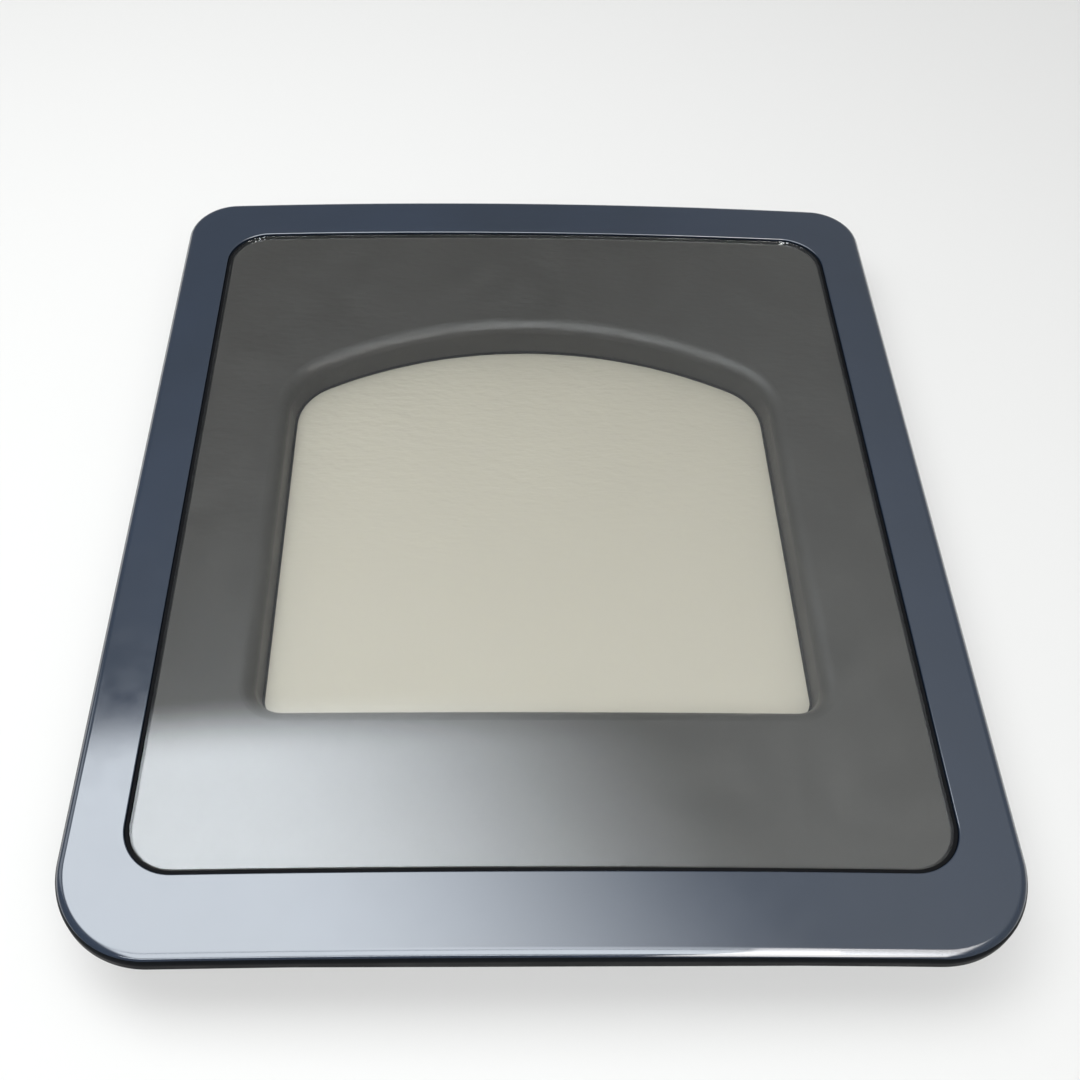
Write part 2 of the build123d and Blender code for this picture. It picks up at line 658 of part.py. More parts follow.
# Rubber bumpers in the corners of the back
with BuildPart() as bumpers:
    extrude(round_holes(frame_back_z - bumper_height, bumper_points, bumper_radius), amount=bumper_height)
    fillet(bumpers.faces().group_by(Axis.Z)[0].edges(), bumper_roll)
    extrude(round_holes(frame_back_z, bumper_points, bumper_stem_radius), amount=bumper_stem)
bumpers.part.label = "bumpers"
export_step(bumpers.part, "parts/bumpers.step")
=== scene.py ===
# %% [markdown]
# A dryer door lies on its back on a pale floor, face up, as a spare part is shown for sale.
# The solids come from the imported model, in metres, and every piece added here uses the same frame:
# X runs across the door, Y towards its top edge and Z out of the front glass.
# The first cell loads that model and keeps its box, whose top and bottom place the camera and the floor.

# %% Load the door
import bpy
import json
import math
from mathutils import Matrix, Vector


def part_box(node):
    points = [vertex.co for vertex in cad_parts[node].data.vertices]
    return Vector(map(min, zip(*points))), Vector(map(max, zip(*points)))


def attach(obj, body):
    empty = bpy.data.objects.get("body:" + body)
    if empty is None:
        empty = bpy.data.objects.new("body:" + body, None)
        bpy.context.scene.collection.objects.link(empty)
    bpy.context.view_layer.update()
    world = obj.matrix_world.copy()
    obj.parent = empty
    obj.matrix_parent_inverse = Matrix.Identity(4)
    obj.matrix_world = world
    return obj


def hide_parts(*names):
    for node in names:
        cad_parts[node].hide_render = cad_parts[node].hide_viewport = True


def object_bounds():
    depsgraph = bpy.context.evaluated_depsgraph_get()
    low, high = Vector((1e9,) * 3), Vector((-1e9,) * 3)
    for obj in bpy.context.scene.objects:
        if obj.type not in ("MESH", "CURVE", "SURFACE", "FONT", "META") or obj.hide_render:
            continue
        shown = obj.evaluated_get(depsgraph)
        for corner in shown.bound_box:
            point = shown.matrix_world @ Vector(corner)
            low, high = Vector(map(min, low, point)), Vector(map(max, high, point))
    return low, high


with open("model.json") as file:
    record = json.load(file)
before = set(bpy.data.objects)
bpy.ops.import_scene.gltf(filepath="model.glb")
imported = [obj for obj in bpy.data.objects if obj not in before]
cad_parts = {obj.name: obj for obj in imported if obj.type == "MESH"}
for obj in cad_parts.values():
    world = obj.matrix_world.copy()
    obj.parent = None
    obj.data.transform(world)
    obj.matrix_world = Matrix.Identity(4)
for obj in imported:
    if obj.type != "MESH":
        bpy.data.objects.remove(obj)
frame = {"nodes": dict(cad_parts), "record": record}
nodes = frame["nodes"]
cad_low, cad_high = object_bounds()
face_z = cad_high.z
print("door", [round(v, 3) for v in cad_low], [round(v, 3) for v in cad_high])

# %% [markdown]
# The photograph was taken standing at the foot of the door and looking down at it from about 50 degrees.
# A camera can be pointed with a tracking constraint, but here its three turns are known from the way the
# door's edges converge, so they are written as turns: about the door's upright, about the horizontal, and a
# slight tilt of the hand. The eye's distance comes out of the same fit.

# %% Camera at the photographer's place
image_side = 1080
focal_pixels = 1300.0
picture_centre_x = 506.5
turn_deg = 2.30
pitch_deg = -37.87
tilt_deg = -2.09
eye_from_face = Vector((-0.0425, -0.5892, 0.7073))


def turn(angle, axis):
    """A rotation by an angle in degrees about one of the axes."""
    return Matrix.Rotation(math.radians(angle), 3, axis)


camera_data = bpy.data.cameras.new("photo_camera")
camera_data.sensor_width = 36.0
camera_data.lens = camera_data.sensor_width * focal_pixels / image_side
camera_data.shift_x = (image_side / 2 - picture_centre_x) / image_side
camera = bpy.data.objects.new("photo_camera", camera_data)
bpy.context.scene.collection.objects.link(camera)
to_view = turn(tilt_deg, "Z") @ turn(pitch_deg, "X") @ turn(turn_deg, "Z")
eye = eye_from_face + Vector((0, 0, face_z))
camera.matrix_world = Matrix.Translation(eye) @ to_view.transposed().to_4x4()
bpy.context.scene.camera = camera
bpy.context.scene.view_settings.view_transform = "Standard"
print("lens", round(camera_data.lens, 2), "mm, shift", round(camera_data.shift_x, 4))

# %% [markdown]
# A glossy door shows the room more than it shows itself, so the light is built as a studio would be: a pale
# floor, a dim world that is brighter overhead and on the right, and soft light panels round the door.
# An area lamp would mirror as a rectangle with a hard edge. A plane that glows less and less towards its
# edges gives the soft bright sweep over the lower left corner. What a gloss mirrors is brighter than what
# should light the matt pieces, so three panels are hidden from matt surfaces and only draw the bright lines
# along the rolled rim, and one is hidden from gloss and only lights the far wall of the window's recess.

# %% Floor, soft panels and world
def plane_mesh(name, width, length, place, facing=(0, 0, 0)):
    """A flat stage plane of the given size that isn't part of the door."""
    mesh = bpy.data.meshes.new(name)
    half_x, half_y = width / 2, length / 2
    corners = [(-half_x, -half_y, 0), (half_x, -half_y, 0), (half_x, half_y, 0), (-half_x, half_y, 0)]
    mesh.from_pydata(corners, [], [(0, 1, 2, 3)])
    plane = bpy.data.objects.new(name, mesh)
    plane.location = place
    plane.rotation_euler = [math.radians(angle) for angle in facing]
    bpy.context.scene.collection.objects.link(plane)
    return plane


def empty_finish(name):
    """A material with an empty node tree and its output node."""
    finish = bpy.data.materials.new(name)
    finish.use_nodes = True
    tree = finish.node_tree
    tree.nodes.clear()
    output = tree.nodes.new("ShaderNodeOutputMaterial")
    return finish, tree, output


def fade(tree, source, dark, bright):
    """A soft ramp that is 0 at one value of the source and 1 at the other."""
    ramp = tree.nodes.new("ShaderNodeMapRange")
    ramp.interpolation_type = "SMOOTHSTEP"
    ramp.inputs["From Min"].default_value = dark
    ramp.inputs["From Max"].default_value = bright
    tree.links.new(source, ramp.inputs["Value"])
    return ramp.outputs[0]


def combine(tree, operation, *values):
    """Values put together by one operation, where any but the first may be a plain number."""
    result = values[0]
    for value in values[1:]:
        node = tree.nodes.new("ShaderNodeMath")
        node.operation = operation
        tree.links.new(result, node.inputs[0])
        if isinstance(value, float):
            node.inputs[1].default_value = value
        else:
            tree.links.new(value, node.inputs[1])
        result = node.outputs[0]
    return result


def soft_light(name, size, place, facing, strength, colour, edges, lean=0.0, lit="all"):
    """A glowing plane; edges are the widths over which it fades at left, right, near and far.

    lean slants the fade on its right, and lit says what it lights: all, only gloss or only matt surfaces.
    """
    half_x, half_y = size[0] / 2, size[1] / 2
    left, right, near, far = edges
    spare = abs(lean) * size[1]
    light = plane_mesh(name, size[0] + 2 * spare, size[1], place, facing)
    finish, tree, output = empty_finish(name)
    position = tree.nodes.new("ShaderNodeTexCoord")
    split = tree.nodes.new("ShaderNodeSeparateXYZ")
    tree.links.new(position.outputs["Object"], split.inputs[0])
    along_x, along_y = split.outputs["X"], split.outputs["Y"]
    leaning_x = combine(tree, "ADD", combine(tree, "MULTIPLY", along_y, lean), along_x)
    glow = combine(
        tree, "MULTIPLY",
        fade(tree, along_x, -half_x, left - half_x), fade(tree, leaning_x, half_x, half_x - right),
        fade(tree, along_y, -half_y, near - half_y), fade(tree, along_y, half_y, half_y - far), strength)
    emission = tree.nodes.new("ShaderNodeEmission")
    emission.inputs["Color"].default_value = (*colour, 1)
    tree.links.new(glow, emission.inputs["Strength"])
    open_air = tree.nodes.new("ShaderNodeBsdfTransparent")
    both = tree.nodes.new("ShaderNodeAddShader")
    tree.links.new(emission.outputs[0], both.inputs[0])
    tree.links.new(open_air.outputs[0], both.inputs[1])
    tree.links.new(both.outputs[0], output.inputs["Surface"])
    light.data.materials.append(finish)
    light.visible_camera = False
    light.visible_diffuse = lit != "gloss"
    light.visible_glossy = lit != "matt"
    return light


# The floor is pale paper; to the eye, and in gloss and glass, it is paler still and keeps the shadow
floor_side = 30.0
floor_gap = 0.0005
floor = plane_mesh("floor", floor_side, floor_side, (0, 0, cad_low.z - floor_gap))
floor_finish, tree, output = empty_finish("pale_floor")
paper = tree.nodes.new("ShaderNodeBsdfDiffuse")
paper.inputs["Color"].default_value = (0.74, 0.74, 0.735, 1)
shaded = tree.nodes.new("ShaderNodeBsdfDiffuse")
shaded.inputs["Color"].default_value = (0.335, 0.32, 0.3, 1)
white = tree.nodes.new("ShaderNodeEmission")
white.inputs["Color"].default_value = (1.0, 1.0, 1.0, 1)
white.inputs["Strength"].default_value = 0.42
seen_paper = tree.nodes.new("ShaderNodeAddShader")
tree.links.new(shaded.outputs[0], seen_paper.inputs[0])
tree.links.new(white.outputs[0], seen_paper.inputs[1])
path = tree.nodes.new("ShaderNodeLightPath")
seen = combine(tree, "MAXIMUM", path.outputs["Is Camera Ray"], path.outputs["Is Glossy Ray"],
               path.outputs["Is Transmission Ray"])
either = tree.nodes.new("ShaderNodeMixShader")
tree.links.new(seen, either.inputs["Fac"])
tree.links.new(paper.outputs[0], either.inputs[1])
tree.links.new(seen_paper.outputs[0], either.inputs[2])
tree.links.new(either.outputs[0], output.inputs["Surface"])
floor.data.materials.append(floor_finish)

panel_height = face_z + 1.4
cool_white = (0.89, 0.95, 1.01)
warm_white = (1.0, 0.97, 0.95)
lights = (   # name, size, place over the door, strength, colour, fading edges, lean, what it lights
    ("overhead_panel", (2.08, 1.25), (-0.31, 0.075), 7.2, cool_white, (0.35, 1.1, 0.4, 0.14), 0.6, "all"),
    ("near_panel", (2.68, 1.55), (-0.01, -0.925), 7.2, cool_white, (0.35, 1.1, 0.1, 0.4), 0.6, "gloss"),
    ("front_strip", (2.3, 0.3), (-0.65, -2.0), 11.0, cool_white, (0.2, 0.5, 0.08, 0.08), 0.0, "gloss"),
    ("front_panel", (0.9, 3.0), (0.9, -1.65), 9.5, warm_white, (0.04, 0.3, 0.3, 0.04), 0.0, "gloss"),
    ("front_fill", (2.2, 0.9), (0.0, -1.3), 7.0, cool_white, (0.4, 0.4, 0.3, 0.3), 0.0, "matt"),
)
for name, size, (x, y), strength, colour, edges, lean, lit in lights:
    soft_light(name, size, (x, y, panel_height), (0, 0, 0), strength, colour, edges, lean, lit)
left_edges = (0.2, 0.2, 0.2, 0.2)
soft_light("left_panel", (1.1, 0.8), (-1.6, 0.4, face_z + 0.9), (0, 90, 0), 1.5, cool_white, left_edges)

world_low = 0.25
world_high = 0.7
world_right_gain = 0.45
world_rise = (0.55, 0.95)
world_right = (0.05, 0.35)
world = bpy.data.worlds.new("dim_room")
world.use_nodes = True
tree = world.node_tree
place = tree.nodes.new("ShaderNodeTexCoord")
split = tree.nodes.new("ShaderNodeSeparateXYZ")
tree.links.new(place.outputs["Generated"], split.inputs[0])
rise = fade(tree, split.outputs["Z"], *world_rise)
rise.node.inputs["To Min"].default_value = world_low
rise.node.inputs["To Max"].default_value = world_high
sideways = fade(tree, split.outputs["X"], *world_right)
sideways.node.inputs["To Min"].default_value = 1.0
sideways.node.inputs["To Max"].default_value = 1.0 + world_right_gain
background = tree.nodes["Background"]
background.inputs["Color"].default_value = (0.93, 0.97, 1.0, 1)
tree.links.new(combine(tree, "MULTIPLY", rise, sideways), background.inputs["Strength"])
bpy.context.scene.world = world
print(len(lights) + 1, "panels up to", round(panel_height, 3), "m, world", world_low, "to", world_high)

# %% [markdown]
# Finishes are procedural. Object coordinates are metres in the door's own frame, so a grain of 0.6 mm is a
# noise scale of about 1600. One helper starts a finish with its shader, and others add what moulded and
# painted things show: a drift of colour, a drift of gloss, a raised grain, and the flat ripples that lie over
# the upper half of this door.

# %% Helpers for finishes
def new_finish(name, colour, roughness, **sockets):
    """A finish with one Principled shader; extra sockets are set by name with _ for a space."""
    finish, tree, output = empty_finish(name)
    shader = tree.nodes.new("ShaderNodeBsdfPrincipled")
    shader.inputs["Base Color"].default_value = (*colour, 1)
    shader.inputs["Roughness"].default_value = roughness
    for socket, value in sockets.items():
        shader.inputs[socket.replace("_", " ")].default_value = value
    tree.links.new(shader.outputs[0], output.inputs["Surface"])
    return finish, tree, shader


def noise(tree, scale, detail=2.0, stretch=(1, 1, 1)):
    """Noise in the door's own frame; scale is features per metre."""
    place = tree.nodes.new("ShaderNodeTexCoord")
    mapping = tree.nodes.new("ShaderNodeMapping")
    mapping.inputs["Scale"].default_value = stretch
    texture = tree.nodes.new("ShaderNodeTexNoise")
    texture.inputs["Scale"].default_value = scale
    texture.inputs["Detail"].default_value = detail
    tree.links.new(place.outputs["Object"], mapping.inputs["Vector"])
    tree.links.new(mapping.outputs[0], texture.inputs["Vector"])
    return texture.outputs["Fac"]


ripple_scale = 230
ripple_stretch = (0.45, 1, 1)
ripple_fade = (-0.14, 0.14)


def upper_ripple(tree):
    """Flat ripples, longer across the door than along it, that fade out towards its lower half."""
    place = tree.nodes.new("ShaderNodeTexCoord")
    split = tree.nodes.new("ShaderNodeSeparateXYZ")
    tree.links.new(place.outputs["Object"], split.inputs[0])
    ripple = noise(tree, ripple_scale, 2, ripple_stretch)
    return combine(tree, "MULTIPLY", ripple, fade(tree, split.outputs["Y"], *ripple_fade))


def vary_colour(tree, shader, source, dark, light):
    """Base colour drifts between two colours with the noise."""
    ramp = tree.nodes.new("ShaderNodeValToRGB")
    ramp.color_ramp.elements[0].position = 0.3
    ramp.color_ramp.elements[0].color = (*dark, 1)
    ramp.color_ramp.elements[1].position = 0.7
    ramp.color_ramp.elements[1].color = (*light, 1)
    tree.links.new(source, ramp.inputs[0])
    tree.links.new(ramp.outputs[0], shader.inputs["Base Color"])


def vary_roughness(tree, shader, source, low, high):
    """Roughness drifts between two values with the noise."""
    spread = tree.nodes.new("ShaderNodeMapRange")
    spread.inputs["From Min"].default_value = 0.35
    spread.inputs["From Max"].default_value = 0.65
    spread.inputs["To Min"].default_value = low
    spread.inputs["To Max"].default_value = high
    tree.links.new(source, spread.inputs["Value"])
    tree.links.new(spread.outputs[0], shader.inputs["Roughness"])


def raise_grain(tree, shader, sources, socket="Normal"):
    """Bumps from pairs of noise and height in millimetres, one over the other."""
    under = None
    for source, height_mm in sources:
        bump = tree.nodes.new("ShaderNodeBump")
        bump.inputs["Strength"].default_value = 1.0
        bump.inputs["Distance"].default_value = height_mm / 1000
        tree.links.new(source, bump.inputs["Height"])
        if under is not None:
            tree.links.new(under, bump.inputs["Normal"])
        under = bump.outputs[0]
    tree.links.new(under, shader.inputs[socket])
    return under


# %% [markdown]
# The frame is moulded in dark blue plastic and lacquered to a deep gloss. The lacquer is a coat over the
# colour. Its surface is never perfectly flat: a faint orange peel and the ripples bend the reflections.
# A plain glossy shader would do for the colour, but the coat keeps its own sharp gloss over a softer base.

# %% Frame lacquer
frame_gloss, tree, shader = new_finish(
    "frame_lacquer", (0.013, 0.021, 0.036), 0.12, IOR=1.5, Coat_Weight=1.0, Coat_Roughness=0.012)
vary_colour(tree, shader, noise(tree, 9), (0.0105, 0.017, 0.029), (0.0125, 0.020, 0.035))
vary_roughness(tree, shader, noise(tree, 60, 4), 0.08, 0.16)
fine_peel, broad_peel = (noise(tree, 140, 2), 0.003), (noise(tree, 14, 1), 0.012)
peel = raise_grain(tree, shader, [fine_peel, broad_peel, (upper_ripple(tree), 0.12)])
tree.links.new(peel, shader.inputs["Coat Normal"])
print(frame_gloss.name, "has", len(tree.nodes), "nodes")

# %% [markdown]
# The outer pane is clear toughened glass and bends a little from place to place, which only its reflections
# show. The inner pane is satin: its face is etched, so it looks pale and even and hides the plug behind it.
# Its dark warm base colour is painted shade, the tone of a shaded floor seen through the window.
# show. The inner pane is satin: its face is etched, so it looks pale and even and hides the plug behind it.
# Light has to pass through both to what lies below, so rays from lamps and from matt surfaces meet a plain
# transparent film instead of refracting glass.

# %% Glass
def pane_finish(name, tint_and_painted_shade, film, haze, ripple_mm, clearness=1.0):
    """Glass that lets light through to what lies behind it; haze is the spread of its roughness."""
    finish, tree, shader = new_finish(name, tint_and_painted_shade, haze[0], IOR=1.5, Transmission_Weight=clearness)
    vary_roughness(tree, shader, noise(tree, 14, 3), *haze)
    raise_grain(tree, shader, [(upper_ripple(tree), ripple_mm)])
    output = next(n for n in tree.nodes if n.type == "OUTPUT_MATERIAL")
    path = tree.nodes.new("ShaderNodeLightPath")
    through = combine(tree, "MAXIMUM", path.outputs["Is Shadow Ray"], path.outputs["Is Diffuse Ray"])
    clear = tree.nodes.new("ShaderNodeBsdfTransparent")
    clear.inputs["Color"].default_value = (*film, 1)
    both = tree.nodes.new("ShaderNodeMixShader")
    tree.links.new(through, both.inputs["Fac"])
    tree.links.new(shader.outputs[0], both.inputs[1])
    tree.links.new(clear.outputs[0], both.inputs[2])
    tree.links.new(both.outputs[0], output.inputs["Surface"])
    return finish


outer_pane = pane_finish(
    "outer_pane_glass", (0.97, 0.97, 0.955), (0.96, 0.96, 0.945), (0.0, 0.012), 0.012)
# The inner pane's dark warm base colour is painted shade: it gives the window the tone of a shaded floor seen
# through it.
inner_pane = pane_finish(
    "inner_pane_glass", (0.42, 0.388, 0.323), (0.80, 0.79, 0.75), (0.5, 0.6), 0.6, 0.6)
print("panes:", outer_pane.name, "and", inner_pane.name)

# %% [markdown]
# Moulded plastic has a fine eroded grain from its tool, and drifts a little in shade where it cooled
# slower. The surround behind the glass is the smoothest, so that its roll catches a soft light line, and the
# rubber in the groove hardly shines at all. One helper makes them all, since only grain and shine differ.

# %% Moulded plastics and rubber
def moulded_finish(name, colour, roughness, grain_mm=0.02, grain_scale=1500, shine=0.5, ripple_mm=0.0):
    """Moulded plastic or rubber with a fine grain, and with ripples where they have a height."""
    finish, tree, shader = new_finish(name, colour, roughness, Specular_IOR_Level=shine)
    dark = tuple(0.95 * c for c in colour)
    light = tuple(min(1.0, 1.04 * c) for c in colour)
    vary_colour(tree, shader, noise(tree, 12, 4), dark, light)
    vary_roughness(tree, shader, noise(tree, 35, 3), roughness - 0.06, roughness + 0.06)
    grain = [(noise(tree, grain_scale, 3), grain_mm), (noise(tree, 20, 2), 0.05)]
    if ripple_mm:
        grain.append((upper_ripple(tree), ripple_mm))
    raise_grain(tree, shader, grain)
    return finish


surround_grey = moulded_finish("surround_plastic", (0.018, 0.0162, 0.0138), 0.38, 0.0005, 600, 0.28, 0.4)
shell_grey = moulded_finish("shell_plastic", (0.60, 0.61, 0.61), 0.5)
grip_black = moulded_finish("grip_plastic", (0.02, 0.02, 0.022), 0.45)
black_rubber = moulded_finish("black_rubber", (0.004, 0.004, 0.0045), 0.7, 0.03, 900, 0.03)
# Near-black plastic with almost no shine for the frame's rim wall, back and hinge covers: painted shade, so
# the wall stays dark where it would mirror the pale floor.
rim_painted_shade_black = moulded_finish("rim_painted_shade_plastic", (0.005, 0.0055, 0.0065), 0.4, 0.003, 900, 0.03)
seal_rubber = moulded_finish("seal_rubber", (0.12, 0.12, 0.125), 0.65, 0.03, 900)
moulded = (surround_grey, shell_grey, grip_black, black_rubber, rim_painted_shade_black, seal_rubber)
print("moulded:", ", ".join(finish.name for finish in moulded))

# %% [markdown]
# Hinges, strike and screws are steel with a thin zinc plating: pale, slightly blue, with fine rolling lines.
# The lines could be cut as geometry, but they are far thinner than a pixel, so a stretched bump is enough.

# %% Zinc plating
def zinc_finish(name, colour, roughness):
    """Zinc-plated steel with faint rolling lines and cloudy spots."""
    finish, tree, shader = new_finish(name, colour, roughness, Metallic=1.0)
    vary_colour(tree, shader, noise(tree, 150, 4), tuple(0.9 * c for c in colour), colour)
    vary_roughness(tree, shader, noise(tree, 90, 3), roughness - 0.08, roughness + 0.1)
    raise_grain(tree, shader, [(noise(tree, 900, 2, (1, 0.08, 1)), 0.008)])
    return finish


zinc_steel = zinc_finish("zinc_plate", (0.62, 0.64, 0.66), 0.33)
zinc_screws = zinc_finish("zinc_screw", (0.66, 0.66, 0.65), 0.3)
print("plated:", zinc_steel.name, "and", zinc_screws.name)

# %% [markdown]
# The frame's gloss shows every flat facet, so its skin is drawn again with fine strips and true normals.
# A section is swept round the door: pocket of the glass, rounded opening edge, crowned face, rolled rim,
# tapered back and hollow. Every ring of points has the same count, so that ring joins ring in plain quads.
# The lacquer covers the face and ends part way round the rolled rim. Beyond that line the faces take a second
# material, a near-black plastic with almost no shine: painted shade, which keeps the rim wall dark where it
# would mirror the pale floor. The sizes have the names of the solid's, in millimetres.

# %% Frame skin
door_height = 664.0
top_corner, bottom_corner = 37.0, 62.0
crown_radius = 5418.75
opening_width, opening_height, opening_y, opening_radius = 496.0, 570.0, 4.5, 32.0
edge_roll, rim_depth, rim_edge, rim_lip = 6.0, 12.0, 1.8, 3.0
bottom_ease = 1.0   # the roll is this much wider along the bottom edge
pocket_depth, ledge, ledge_back, ledge_top, ledge_bottom = 6.2, 4.0, 13.0, 7.4, 10.0
edge_steps, roll_steps, lacquered_steps = 5, 14, 8
frame_back, back_inset, back_draft, frame_wall = 24.0, 18.0, 38.0, 2.5
opening_edge = 0.8
notch_top = 42.0
hinge_row = 186.0
notches = {"right": [(-hinge_row, 20.0), (hinge_row, 20.0)],
           "left": [(-hinge_row, 20.0), (0.0, 80.3), (hinge_row, 20.0)]}
corner_steps, end_steps, side_step = 48, 48, 16.0
front = 1000 * face_z
half_width = 500 * (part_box("outer_frame")[1].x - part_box("outer_frame")[0].x)


def side_shares(side):
    """Places up a side, as shares of its straight part, with a stop at each end of a notch."""
    low, high = bottom_corner - door_height / 2, door_height / 2 - top_corner
    stops = [low] + [y + s * half for y, half in notches[side] for s in (-1, 1)] + [high]
    places = []
    for start, end in zip(stops, stops[1:]):
        count = max(1, round((end - start) / side_step))
        places += [start + (end - start) * k / count for k in range(count)]
    return [(y - low) / (high - low) for y in places + [high]]


def ring(half_x, low, high, low_radius, high_radius):
    """Points and outward directions round a rectangle with its own radius at the bottom and top corners."""
    points = []

    def arc(x, y, radius, start_deg):
        for k in range(1, corner_steps):
            a = math.radians(start_deg + 90 * k / corner_steps)
            points.append((x + radius * math.cos(a), y + radius * math.sin(a), math.cos(a), math.sin(a)))

    for share in side_shares("right"):
        points.append((half_x, low + low_radius + share * (high - high_radius - low - low_radius), 1, 0))
    arc(half_x - high_radius, high - high_radius, high_radius, 0)
    for k in range(end_steps + 1):
        points.append(((half_x - high_radius) * (1 - 2 * k / end_steps), high, 0, 1))
    arc(high_radius - half_x, high - high_radius, high_radius, 90)
    for share in reversed(side_shares("left")):
        points.append((-half_x, low + low_radius + share * (high - high_radius - low - low_radius), -1, 0))
    arc(low_radius - half_x, low + low_radius, low_radius, 180)
    for k in range(end_steps + 1):
        points.append(((half_x - low_radius) * (2 * k / end_steps - 1), low, 0, -1))
    arc(half_x - low_radius, low + low_radius, low_radius, 270)
    return points


def door_ring(inset):
    """The door's outline moved inwards."""
    return ring(half_width - inset, inset - door_height / 2, door_height / 2 - inset,
                bottom_corner - inset, top_corner - inset)


def opening_ring(inset):
    """The outline of the frame's opening moved inwards."""
    return ring(opening_width / 2 - inset, opening_y - opening_height / 2 + inset,
                opening_y + opening_height / 2 - inset, opening_radius - inset, opening_radius - inset)


def crown_height(x, depth):
    """Height of the surface at a depth under the crowned front."""
    return front - crown_radius + math.sqrt((crown_radius - depth) ** 2 - x * x)


def quarter(steps):
    """Sine and cosine of evenly spread angles from 0 to 90 degrees."""
    angles = [math.pi / 2 * k / steps for k in range(steps + 1)]
    return [(math.sin(angle), math.cos(angle)) for angle in angles]


# Each row of the section: outline, inset, depth under the crown or height, and its normal (outwards, up)
draft_sin, draft_cos = math.sin(math.radians(back_draft)), math.cos(math.radians(back_draft))
slope = draft_sin / draft_cos
back_wall = frame_wall / draft_cos
taper_top = frame_back + (back_inset - rim_lip) / slope
notch_inset = back_inset - (notch_top - frame_back) * slope
inner_top = frame_back + (back_inset + back_wall - rim_lip - frame_wall) / slope
section = [("opening", 0.0, "depth", pocket_depth, None)]
section += [("opening", opening_edge * (c - 1), "depth", opening_edge * (1 - s), (-c, s))
            for s, c in quarter(edge_steps)]
section += [("face", share, "depth", 0.0, (0, 1)) for share in (0.06, 0.35, 0.65, 0.94)]
# Rows from here on take the near-black painted-shade material of the rim wall.
painted_shade_first_row = len(section) + lacquered_steps
section += [("roll", 1 - s, "depth", edge_roll * (1 - c), (s, c)) for s, c in quarter(roll_steps)]
section += [("door", rim_edge * (1 - c), "depth", rim_depth - rim_edge * (1 - s), (c, -s))
            for s, c in quarter(edge_steps)]
section += [("door", rim_lip, "depth", rim_depth, None), ("door", rim_lip, "height", taper_top, None)]
notch_first = len(section)
section += [("door", notch_inset, "height", notch_top, (draft_cos, -draft_sin)),
            ("door", back_inset, "height", frame_back, None),
            ("door", back_inset + back_wall, "height", frame_back, None),
            ("door", notch_inset + back_wall, "height", notch_top, (-draft_cos, draft_sin))]
notch_last = len(section) - 1
section += [("door", rim_lip + frame_wall, "height", inner_top, None),
            ("door", rim_lip + frame_wall, "depth", rim_depth - frame_wall, None),
            ("door", frame_wall, "depth", rim_depth - frame_wall, None),
            ("door", frame_wall, "depth", frame_wall, None),
            ("opening", -frame_wall, "depth", frame_wall, None),
            ("opening", -frame_wall, "depth", ledge_bottom, None),
            ("opening", ledge_back, "depth", ledge_bottom, None),
            ("opening", ledge_back, "depth", ledge_top, None), ("opening", ledge, "depth", ledge_top, None),
            ("opening", ledge, "depth", pocket_depth, None)]

rings, outwards = [], [Vector((nx, ny, 0)) for x, y, nx, ny in door_ring(0.0)]
roll_widths = [edge_roll + bottom_ease * max(0.0, -out.y) ** 2 for out in outwards]


def eased_ring(share):
    """A ring on the rolled rim, which is wider along the bottom edge; share 1 is where the roll begins."""
    return [(x - nx * width * share, y - ny * width * share, nx, ny)
            for (x, y, nx, ny), width in zip(door_ring(0.0), roll_widths)]


for outline, inset, measure, value, normal in section:
    if outline == "face":
        inner, outer = opening_ring(-opening_edge), eased_ring(1.0)
        flat = [(a[0] + (b[0] - a[0]) * inset, a[1] + (b[1] - a[1]) * inset) for a, b in zip(inner, outer)]
    elif outline == "roll":
        flat = [(x, y) for x, y, nx, ny in eased_ring(inset)]
    else:
        flat = [(x, y) for x, y, nx, ny in (door_ring(inset) if outline == "door" else opening_ring(inset))]
    heights = [value if measure == "height" else crown_height(x, value) for x, y in flat]
    rings.append([Vector((x, y, z)) for (x, y), z in zip(flat, heights)])
row_count, column_count = len(rings), len(rings[0])

skin_points = [p / 1000 for row in rings for p in row]
skin_faces, skin_normals, skin_painted_shade = [], [], []


def section_normal(row, column, pair):
    """Normal of the swept section at a point: the row's own, or the perpendicular of the strip it ends."""
    place, normal = rings[row][column], section[row][4]
    up = Vector((place.x / crown_radius, 0, 1)).normalized()
    out = outwards[column]
    if section[row][0] == "roll":
        wide, high = normal[0] / roll_widths[column], normal[1] / edge_roll
        normal = (wide / math.hypot(wide, high), high / math.hypot(wide, high))
    if normal is None:
        step = rings[pair[1]][column] - rings[pair[0]][column]
        run, climb = step.dot(out), step.dot(up)
        length = math.hypot(run, climb)
        normal = (-climb / length, run / length)
    return (out * normal[0] + up * normal[1]).normalized()


def add_face(corners, normals):
    """One face of the skin, with a normal for each corner."""
    skin_faces.append([row * column_count + column for row, column in corners])
    skin_painted_shade.append(all(row >= painted_shade_first_row or row == 0 for row, column in corners))
    skin_normals.extend(normals)


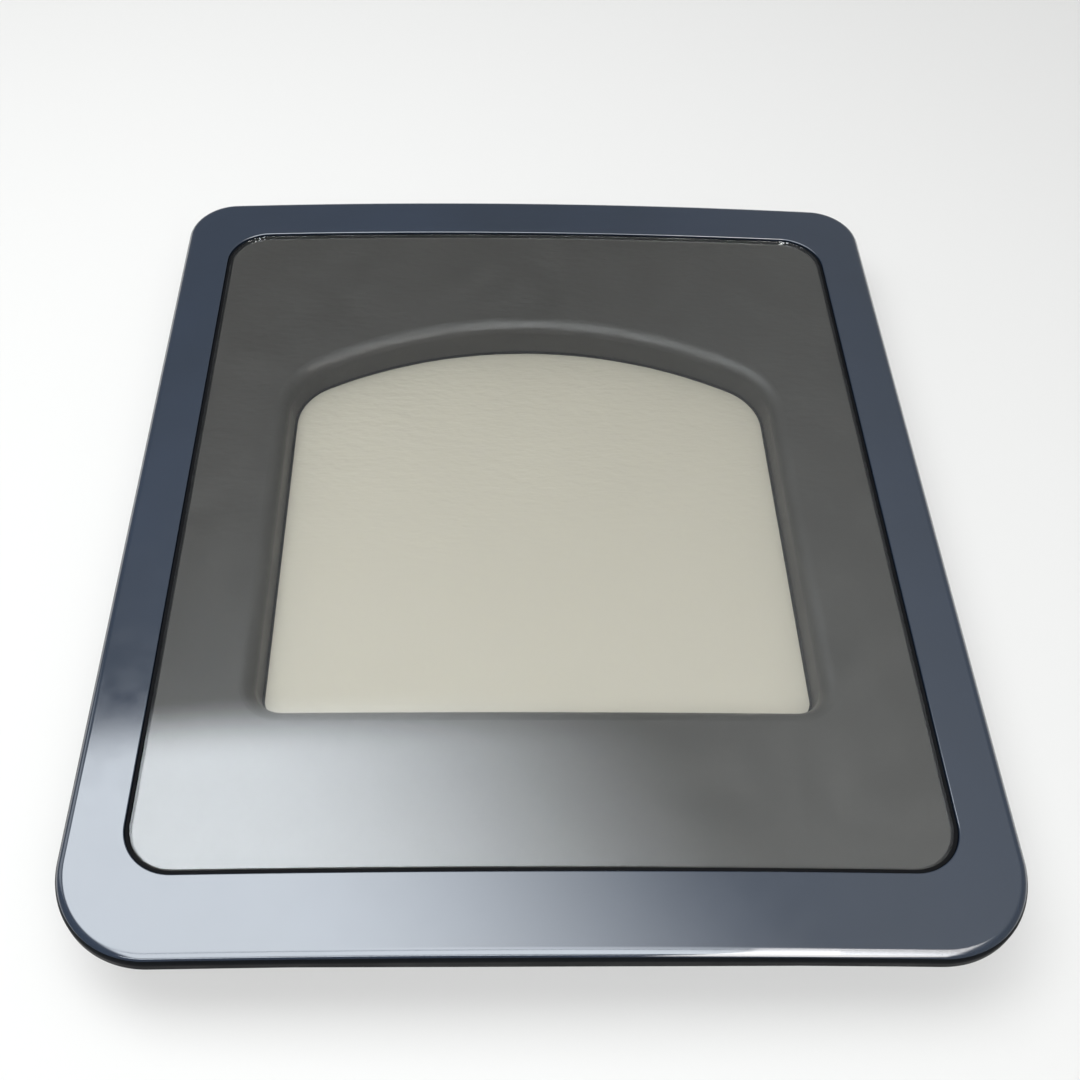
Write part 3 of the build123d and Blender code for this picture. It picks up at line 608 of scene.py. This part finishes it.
notch_columns = set()
outer_ring = door_ring(0.0)
for column in range(column_count):
    here, there = outer_ring[column], outer_ring[(column + 1) % column_count]
    side = {(1, 1): "right", (-1, -1): "left"}.get((here[2], there[2]))
    middle = (here[1] + there[1]) / 2
    if side and any(abs(middle - y) < half for y, half in notches[side]):
        notch_columns.add(column)
for column in range(column_count):
    beside = (column + 1) % column_count
    for row in range(row_count):
        below = (row + 1) % row_count
        if column in notch_columns and notch_first <= row < notch_last:
            continue
        corners = [(row, column), (below, column), (below, beside), (row, beside)]
        add_face(corners, [section_normal(r, c, (row, below)) for r, c in corners])
    if column in notch_columns:
        corners = [(notch_first, column), (notch_last, column), (notch_last, beside), (notch_first, beside)]
        add_face(corners, [Vector((0, 0, -1))] * 4)
        for end, neighbour, rows in ((column, column - 1, range(notch_first, notch_last + 1)),
                                     (beside, beside, range(notch_last, notch_first - 1, -1))):
            if neighbour % column_count not in notch_columns:
                corners = [(row, end) for row in rows]
                first, second, third = [rings[r][c] for r, c in corners[:3]]
                add_face(corners, [(second - first).cross(third - second).normalized()] * len(corners))

skin_mesh = bpy.data.meshes.new("frame_skin")
skin_mesh.from_pydata(skin_points, [], skin_faces)
# Faces past the lacquered part of the roll get the second material, the painted shade of the rim wall.
for polygon, painted_shade_face in zip(skin_mesh.polygons, skin_painted_shade):
    polygon.use_smooth = True
    polygon.material_index = int(painted_shade_face)
skin_mesh.normals_split_custom_set(skin_normals)
frame_skin = bpy.data.objects.new("frame_skin", skin_mesh)
bpy.context.scene.collection.objects.link(frame_skin)
frame_skin.data.materials.append(frame_gloss)
frame_skin.data.materials.append(rim_painted_shade_black)
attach(frame_skin, "door")
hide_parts("outer_frame")
print("frame skin:", len(skin_faces), "faces,", sum(skin_painted_shade), "bare,", len(notch_columns), "notch columns")

# %% [markdown]
# The record names a finish for each node, so the solids are dressed by that list. Only the covers over the
# spare hinge places differ: they sit in the rim wall behind the rolled rim and take its near-black, almost
# shineless plastic, the same painted shade.

# %% Dress the solids
finishes = {
    "frame_gloss": frame_gloss, "outer_glass": outer_pane, "inner_glass": inner_pane,
    "surround_grey": surround_grey, "shell_grey": shell_grey, "grip_black": grip_black,
    "black_rubber": black_rubber, "seal_rubber": seal_rubber, "zinc_steel": zinc_steel,
    "zinc_screws": zinc_screws,
}
behind_rim = ("upper_hinge_blank", "lower_hinge_blank")
for subpart in frame["record"]["subparts"]:
    node = nodes[subpart["node"]]
    finish = rim_painted_shade_black if subpart["node"] in behind_rim else finishes[subpart["material_slot"]]
    if not node.material_slots:
        node.data.materials.append(finish)
    for slot in node.material_slots:
        slot.material = finish
print(len(nodes), "nodes dressed in", len(finishes), "finishes")
